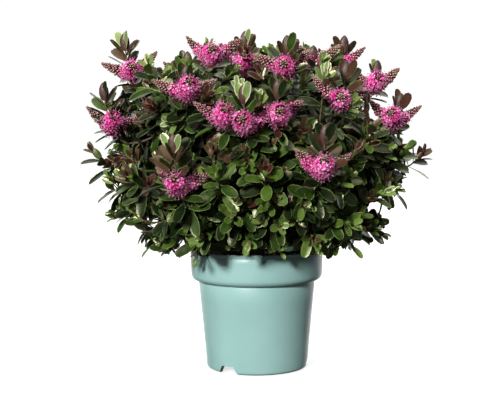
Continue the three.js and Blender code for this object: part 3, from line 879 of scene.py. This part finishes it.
def uneven(points, grain):
    """Soft bumps over space, between -1 and 1, with waves of about a grain's length."""
    total = np.zeros(points.shape[:-1])
    for k, wave in enumerate(WAVES):
        total += np.sin((points @ np.array(wave)) * 2 * pi / grain * (1 + 0.37 * k) + 1.7 * k)
    return total / len(WAVES)


def limb(points, radii, sides, relief):
    """A tube with coarse and fine ridges that run along it."""
    corners, faces = tube(points, radii, sides)
    middle = np.concatenate([np.repeat(points, sides, axis=0), points[:1], points[-1:]])
    rough = uneven(corners * [1, 1, 0.35], 7) * 0.6 + uneven(corners * [1, 1, 0.5], 2.6) * 0.4
    return corners + (corners - middle) * (rough * relief)[:, None], faces


def stem_limb():
    """The stem, which sways a little and widens to its root flare."""
    heights = np.linspace(STEM.foot, STEM.top + STEM_FORM.above, STEM_FORM.rings)
    steps = np.array([0, 2.5, STEM_FORM.root_at, STEM_FORM.collar_at, STEM.top - STEM.foot])
    widths = np.interp(heights, STEM.foot + steps,
                       [STEM.flare, 12.4, STEM.root, STEM.collar, STEM.tip])
    middles = np.stack([0.9 * np.sin(heights / 17), 0.8 * np.sin(heights / 23 + 1), heights], axis=1)
    return limb(middles, widths, STEM_FORM.sides, STEM_FORM.relief)


def bough_limb(curve):
    """A bough, swollen where it leaves the stem."""
    t = np.linspace(0, 1, BOUGH_FORM.rings)
    widths = BOUGH.foot + (BOUGH.tip - BOUGH.foot) * t + 1.6 * np.exp(-t / 0.08)
    return limb(curve.at(t), widths, BOUGH_FORM.sides, BOUGH_FORM.relief)


bark = Kind()
bark.add(*stem_limb())
for mass in masses:
    bark.add(*bough_limb(mass.bough))


# ---- Pot and soil ----

NOTCH = Named(bearings=(-35, 85, 205), foot_width=30, top_width=20, height=11, from_radius=62, to_radius=80,
              past_foot=1)
POT_SEGMENTS = 180
ARC_POINTS = 6
SHARP_ANGLE = 35
SOIL = Named(reach=90.6, first_ring=4, rings=46, segments=120, dome=2.2, dome_radius=26)
# Height, grain and shift of the soil's unevenness.
SOIL_BUMPS = [(1.2, 34, 0), (0.9, 9, 50), (0.5, 3.4, -20)]
CHIPS = Named(count=620, reach=88, round_stem=17, kinds=3)


def lathe(outline, segments):
    """Turned about +Z from (radius, height) points that start and end on the axis."""
    turns = np.arange(segments) * 2 * pi / segments
    rings = [np.stack([r * np.cos(turns), r * np.sin(turns), np.full(segments, z)], axis=1)
             for r, z in outline[1:-1]]
    ends = [[0, 0, outline[0][1]], [0, 0, outline[-1][1]]]
    kind = Kind()
    kind.add(np.concatenate(rings + [ends]), closed_faces(len(rings), segments))
    return kind


def arc(centre, radius, start, end):
    """Points on a quarter or so of a circle, by angles in degrees."""
    return [(centre[0] + radius * cos(radians(a)), centre[1] + radius * sin(radians(a)))
            for a in np.linspace(start, end, ARC_POINTS)]


def pot_outline():
    """From the middle of the raised base out under the foot ring, up the outside, and down the inside."""
    outside = [(0, 12), (63, 12), (64.6, 10.4), (65.2, 1.2), (66, 0), (68.4, 0)]
    outside += arc((67.6, 4.6), 4.5, -70, -4)
    outside += [(73.6, 26), (75.9, 50), (78.2, 75), (80.6, 100), (82.6, 121)]
    outside += [(82.0, 122.6), (81.8, 124.6), (83.4, 125.0), (86.0, 126.2)]
    outside += arc((84.6, 134.6), 8.7, -66, -4)
    outside += [(93.8, 146), (94.3, 158), (94.4, 163.6), (94.0, 164.2), (94.0, 164.9), (94.8, 165.5)]
    outside += arc((93.3, 168.3), 1.7, -20, 90)
    inside = arc((92.9, 168.6), 1.4, 90, 180)
    inside += [(91.4, 158), (90.8, 136), (88, 133), (81.4, 128), (80.8, 121), (71.2, 14.4), (0, 14.4)]
    return outside + inside


def notch_cutter(bearing):
    """A block across the foot ring, wider at the foot."""
    half_foot, half_top = NOTCH.foot_width / 2 + NOTCH.past_foot, NOTCH.top_width / 2
    out = heading(bearing, 0)
    across = np.array([-out[1], out[0], 0])
    face = [(-half_foot, -NOTCH.past_foot), (half_foot, -NOTCH.past_foot),
            (half_top, NOTCH.height), (-half_top, NOTCH.height)]
    ends = (NOTCH.from_radius, NOTCH.to_radius)
    corners = [out * r + across * x + UP * z for r in ends for x, z in face]
    kind = Kind()
    kind.add(corners, [[3, 2, 1, 0], [4, 5, 6, 7], [1, 5, 4, 0], [2, 6, 5, 1], [3, 7, 6, 2], [0, 4, 7, 3]])
    return kind


def make_pot(materials):
    pot = make_piece("pot_shell", lathe(pot_outline(), POT_SEGMENTS), materials)
    for bearing in NOTCH.bearings:
        cutter = make_object("notch_cutter", notch_cutter(bearing))
        cut = pot.modifiers.new("notch", "BOOLEAN")
        cut.object, cut.operation, cut.solver = cutter, "DIFFERENCE", "EXACT"
        bpy.context.view_layer.update()
        mesh = bpy.data.meshes.new_from_object(pot.evaluated_get(bpy.context.evaluated_depsgraph_get()))
        pot.modifiers.clear()
        pot.data = mesh
        bpy.data.objects.remove(cutter)
    pot.data.set_sharp_from_angle(angle=radians(SHARP_ANGLE))
    return pot


def soil_dome(out):
    """How much higher the soil stands than its level, towards the stem."""
    return SOIL.dome * np.exp(-(out / SOIL.dome_radius) ** 2)


def soil_surface():
    """Uneven soil, a little higher round the stem."""
    radii = np.concatenate([[0.001], np.linspace(SOIL.first_ring, SOIL.reach, SOIL.rings)])
    segments = SOIL.segments
    r, t = np.meshgrid(radii, np.arange(segments) * 2 * pi / segments, indexing="ij")
    flat = np.stack([r * np.cos(t), r * np.sin(t), 0 * r], axis=-1)
    height = SOIL_LEVEL + soil_dome(r)
    for bump, grain, shift in SOIL_BUMPS:
        height = height + bump * uneven(flat + shift, grain)
    corners = np.stack([flat[..., 0], flat[..., 1], height], axis=-1).reshape(-1, 3)
    a, b = wall_corners(len(radii), segments)
    kind = Kind()
    kind.add(corners, np.stack([a, a + segments, b + segments, b], axis=1))
    return kind


def bark_chips():
    """Loose chips strewn over the soil, but for a space round the stem."""
    kind = Kind()
    draw = seeded(SEEDS.chips)
    cube = np.array([(x, y, z) for x in (-1, 1) for y in (-1, 1) for z in (-1, 1)], float)
    sides = np.array([[0, 1, 3, 2], [4, 6, 7, 5], [0, 4, 5, 1], [2, 3, 7, 6], [0, 2, 6, 4], [1, 5, 7, 3]])
    for k in range(CHIPS.count):
        out, turn = CHIPS.reach * sqrt(draw()), draw() * 2 * pi
        size = np.array([1.2 + 3.6 * draw() ** 2, 1 + 1.6 * draw(), 0.5 + 0.9 * draw()])
        skew = np.array([[draw() - 0.5 for _ in range(3)] for _ in range(8)])
        chip = cube * size * (1 + 0.5 * skew)
        along = unit(heading(draw() * 360, 60 * (draw() - 0.5)))
        level = SOIL_LEVEL + 0.6 + soil_dome(out) + 1.6 * draw()
        middle = np.array([out * cos(turn), out * sin(turn), level])
        if out > CHIPS.round_stem:
            face = unit(UP + 0.5 * heading(draw() * 360, 0))
            kind.add(chip @ frame_of(along, face) + middle, sides, int(draw() * CHIPS.kinds))
    return kind


# ---- Materials ----

# Mottling's grain in millimetres, roughness from and to, strength of the relief and its grain.
LOOKS = dict(
    leaf=(16, (0.25, 0.37), 0.25, 2.2),
    petal=(5, (0.5, 0.65), 0.2, 1.0),
    thread=(4, (0.5, 0.6), 0.1, 1.0),
    anther=(3, (0.6, 0.75), 0.3, 0.6),
    flower_bud=(4, (0.45, 0.6), 0.2, 1.0),
    dark_bud=(5, (0.42, 0.56), 0.5, 2.4),
    bud=(9, (0.35, 0.45), 0.3, 2.0),
    bud_edge=(6, (0.35, 0.45), 0.3, 2.0),
    stalk=(6, (0.5, 0.6), 0.3, 1.5),
    old_twig=(7, (0.55, 0.7), 0.6, 2.0),
    young_twig=(7, (0.5, 0.62), 0.5, 1.6),
    bark=(5, (0.7, 0.88), 0.9, 1.8),
    pot=(70, (0.36, 0.46), 0.12, 1.4),
    soil=(6, (0.85, 0.95), 1.0, 1.6),
    chip=(5, (0.75, 0.9), 0.8, 1.2),
    floor=(300, (0.8, 0.9), 0.02, 20),
)
MOTTLING = (0.32, 0.68)
SHINE = (0.3, 0.7)
SHINE_GRAIN = 0.45
RELIEF_DEPTH = 0.3
PLAIN_IOR = 1.45
LEAF_IOR = 1.7
DARK_LEAF_IOR = 1.5
MARGIN_IOR = 1.6
LEAF_SHINE = (1, 0.98, 0.62, 1)
WHITE, BLACK = (1, 1, 1, 1), (0, 0, 0, 1)


def linear(red, green, blue):
    """A colour as light, from its everyday 0-255 values."""
    return tuple((v / 255 / 12.92) if v / 255 <= 0.04045 else ((v / 255 + 0.055) / 1.055) ** 2.4
                 for v in (red, green, blue)) + (1,)


def shader_of(material):
    return material.node_tree.nodes["Principled BSDF"]


def fill(node, **values):
    """Sets a node's inputs, whose names have a space for each underscore."""
    for name, value in values.items():
        node.inputs[name.replace("_", " ")].default_value = value


def make_material(name, look, deep, pale, ior=PLAIN_IOR):
    """Two near colours mottled over a grain, an uneven roughness and a fine relief."""
    grain, rough, bump, bump_grain = LOOKS[look]
    material = bpy.data.materials.new(name)
    material.use_nodes = True
    nodes, links = material.node_tree.nodes, material.node_tree.links
    shader = shader_of(material)
    place = nodes.new("ShaderNodeTexCoord")

    def noise(size, detail):
        n = nodes.new("ShaderNodeTexNoise")
        fill(n, Scale=1 / (size * MM), Detail=detail)
        links.new(place.outputs["Object"], n.inputs["Vector"])
        return n.outputs["Fac"]

    def spread(values, low, high):
        n = nodes.new("ShaderNodeMapRange")
        fill(n, From_Min=low, From_Max=high)
        links.new(values, n.inputs["Value"])
        return n

    mix = nodes.new("ShaderNodeMix")
    mix.data_type = "RGBA"
    links.new(spread(noise(grain, 4), *MOTTLING).outputs["Result"], mix.inputs["Factor"])
    fill(mix, A=linear(*deep), B=linear(*pale))
    links.new(mix.outputs["Result"], shader.inputs["Base Color"])
    shine = spread(noise(grain * SHINE_GRAIN, 2), *SHINE)
    fill(shine, To_Min=rough[0], To_Max=rough[1])
    links.new(shine.outputs["Result"], shader.inputs["Roughness"])
    relief = nodes.new("ShaderNodeBump")
    fill(relief, Strength=bump, Distance=bump_grain * RELIEF_DEPTH * MM)
    links.new(noise(bump_grain, 3), relief.inputs["Height"])
    links.new(relief.outputs["Normal"], shader.inputs["Normal"])
    fill(shader, IOR=ior)
    return material


def numbered_materials(look, colours):
    return [make_material(f"{look}_{k + 1}", look, *pair) for k, pair in enumerate(colours)]


def leaf_material(name, deep, pale, ior=MARGIN_IOR):
    """A glossy leaf, whose shine is a little yellow from the leaves round it."""
    material = make_material(name, "leaf", deep, pale, ior)
    fill(shader_of(material), Specular_Tint=LEAF_SHINE)
    return material


LEAF_COLOURS = dict(
    # The dark tint is partly the older leaves' own colour, partly painted shade for leaves deep in the
    # crown.
    dark=((9, 20, 6), (22, 38, 12)),
    green=((24, 42, 11), (47, 71, 21)),
    fresh=((46, 71, 21), (80, 106, 36)),
    young=((90, 116, 50), (118, 140, 70)),
    cream=((98, 123, 64), (132, 154, 94)),
    bronze=((52, 31, 24), (84, 56, 42)),
    maroon=((52, 25, 23), (82, 43, 37)),
)
margin_green = leaf_material("leaf_margin_pale", (84, 106, 46), (142, 156, 96))
margin_dark = leaf_material("leaf_margin_dull", (48, 64, 30), (106, 118, 72))
margin_maroon = leaf_material("leaf_margin_bud", (112, 90, 76), (142, 114, 94))
margin_cream = leaf_material("leaf_margin_cream", (178, 186, 136), (208, 212, 170))
MARGINS = dict(dark=margin_dark, bronze=margin_dark, maroon=margin_maroon, cream=margin_cream)
for tint, kind in leaves.items():
    ior = DARK_LEAF_IOR if tint == "dark" else LEAF_IOR
    body = leaf_material("leaf_" + tint, *LEAF_COLOURS[tint], ior)
    make_piece("leaves_" + tint, kind, [body, MARGINS.get(tint, margin_green)])

# The petals and then the tube of each tone, from pale to deep.
# The palest petals are partly the florets' own pale pink, partly a painted highlight; the tubes are partly
# their own deeper pink, partly painted shade in the floret's depth.
petal_colours = [((252, 174, 220), (254, 206, 234)), ((234, 76, 162), (244, 108, 184)),
                 ((246, 104, 188), (251, 138, 204)), ((210, 34, 130), (228, 56, 148)),
                 ((226, 56, 150), (238, 84, 170)), ((166, 14, 94), (190, 28, 114))]
petal_materials = numbered_materials("petal", petal_colours)
stamen_materials = [make_material("stamen_thread", "thread", (226, 130, 180), (240, 168, 204)),
                    make_material("anther", "anther", (168, 92, 130), (206, 140, 170))]
for form in florets:
    make_piece("florets_" + form, florets[form], petal_materials)
    make_piece("stamens_" + form, stamens[form], stamen_materials)

# The stalk, the four tones of the body, and the tip of a pink bud and of the others.
bead_colours = [((50, 26, 26), (76, 42, 40)), ((172, 56, 108), (198, 84, 134)),
                ((116, 60, 70), (146, 88, 94)), ((112, 70, 64), (142, 96, 86)),
                ((122, 102, 70), (150, 130, 94)), ((216, 124, 162), (234, 152, 184)),
                ((200, 168, 156), (222, 196, 182))]
make_piece("flower_buds", beads, numbered_materials("flower_bud", bead_colours))
make_piece("shoot_buds", buds, [
    make_material("bud_maroon", "dark_bud", (52, 29, 27), (90, 60, 49)),
    make_material("bud_green", "bud", (92, 122, 50), (120, 144, 66)),
    make_material("bud_olive", "bud", (74, 84, 40), (100, 106, 54)),
    make_material("bud_brown", "bud", (78, 54, 40), (104, 72, 52)),
    make_material("bud_edge", "bud_edge", (150, 134, 104), (180, 166, 132))])
make_piece("flower_stalks", stalks, [make_material("stalk", "stalk", (96, 84, 58), (120, 104, 70))])

old_bark = make_material("twig_old", "old_twig", (66, 50, 40), (92, 74, 56))
young_bark = make_material("twig_young", "young_twig", (74, 72, 42), (104, 96, 58))
stem_bark = make_material("bark", "bark", (64, 50, 40), (112, 94, 76))
make_piece("twigs_old", old_wood, [old_bark])
make_piece("twigs_young", young_wood, [young_bark])
limbs = make_piece("limbs", bark, [stem_bark])
pot = make_pot([make_material("pot_plastic", "pot", (136, 173, 168), (145, 182, 177))])
compost = make_material("soil", "soil", (38, 28, 22), (66, 50, 38))
soil = make_piece("soil", soil_surface(), [compost])
make_piece("bark_chips", bark_chips(), [
    make_material("chip_brown", "chip", (96, 62, 40), (128, 86, 56)),
    make_material("chip_dark", "chip", (52, 36, 28), (78, 56, 42)),
    make_material("chip_tan", "chip", (140, 104, 70), (168, 130, 92))], smooth=False)

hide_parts("pot")
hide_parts("root_ball")
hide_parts("stem", *["bough_" + mass.name for mass in masses])
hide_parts(*["mass_" + mass.name for mass in masses])


# ---- Stage, light and camera ----

FLOOR = Named(half=6000, height=-0.4, glow=0.7)
DOME = Named(radius=7000, foot=-40, sunk=30, step=10, segments=48)
CAMERA = Named(lens=83.5, sensor=36, down=4.21, left=0.31, roll=-0.35)
WORLD_GLOW = 0.06


def make_floor():
    """A white floor that glows a little of itself, which keeps the shadow on it soft."""
    half, height = FLOOR.half, FLOOR.height
    kind = Kind()
    kind.add([(-half, -half, height), (half, -half, height), (half, half, height), (-half, half, height)],
             [[0, 1, 2, 3]])
    white = make_material("floor_white", "floor", (178, 178, 178), (180, 180, 180))
    fill(shader_of(white), Emission_Color=WHITE, Emission_Strength=FLOOR.glow)
    floor = make_object("floor", kind, [white])
    floor.visible_diffuse = floor.visible_glossy = False


def make_backdrop():
    """A white dome far round the plant. It shows behind it and casts no light on it."""
    radius, sunk = DOME.radius, DOME.sunk
    wall = [(radius * cos(radians(a)), radius * sin(radians(a)) - sunk)
            for a in range(0, 90, DOME.step)]
    outline = [(0, DOME.foot)] + wall + [(0, radius - sunk)]
    dome = make_object("backdrop", lathe(outline, DOME.segments))
    white = bpy.data.materials.new("backdrop_white")
    white.use_nodes = True
    fill(shader_of(white), Base_Color=BLACK, Emission_Color=WHITE, Emission_Strength=1.0)
    dome.data.materials.append(white)
    dome.visible_diffuse = dome.visible_glossy = dome.visible_transmission = dome.visible_shadow = False


def make_sun(name, comes_from, softness, strength):
    """Even light from one side; its softness is the width of the source in degrees."""
    lamp = bpy.data.lights.new(name, "SUN")
    lamp.angle, lamp.energy = radians(softness), strength
    placed(name, lamp).rotation_euler = (-Vector(comes_from)).to_track_quat("-Z", "Y").to_euler()


def make_camera():
    lens = bpy.data.cameras.new("camera")
    lens.lens, lens.sensor_width = CAMERA.lens, CAMERA.sensor
    camera = placed("camera", lens)
    camera.location = (0, -EYE.distance * MM, EYE.height * MM)
    left, up, roll = (radians(a) for a in (CAMERA.left, 90 - CAMERA.down, CAMERA.roll))
    turn = Matrix.Rotation(left, 3, "Z") @ Matrix.Rotation(up, 3, "X") @ Matrix.Rotation(roll, 3, "Z")
    camera.rotation_euler = turn.to_euler()
    bpy.context.scene.camera = camera


make_floor()
make_backdrop()
make_sun("key", (-0.4, -1.0, 0.44), 10, 4.6)
make_sun("overhead", (0.15, -0.3, 1.0), 50, 1.05)
make_sun("left", (-1.0, -0.3, 0.1), 60, 0.28)
make_sun("right", (1.0, -0.35, 0.1), 60, 0.1)
make_sun("back", (0.05, 1.0, 0.45), 105, 3.6)
world = bpy.data.worlds.new("studio")
world.use_nodes = True
fill(world.node_tree.nodes["Background"], Color=WHITE, Strength=WORLD_GLOW)
bpy.context.scene.world = world
bpy.context.scene.view_settings.view_transform = "Standard"
make_camera()
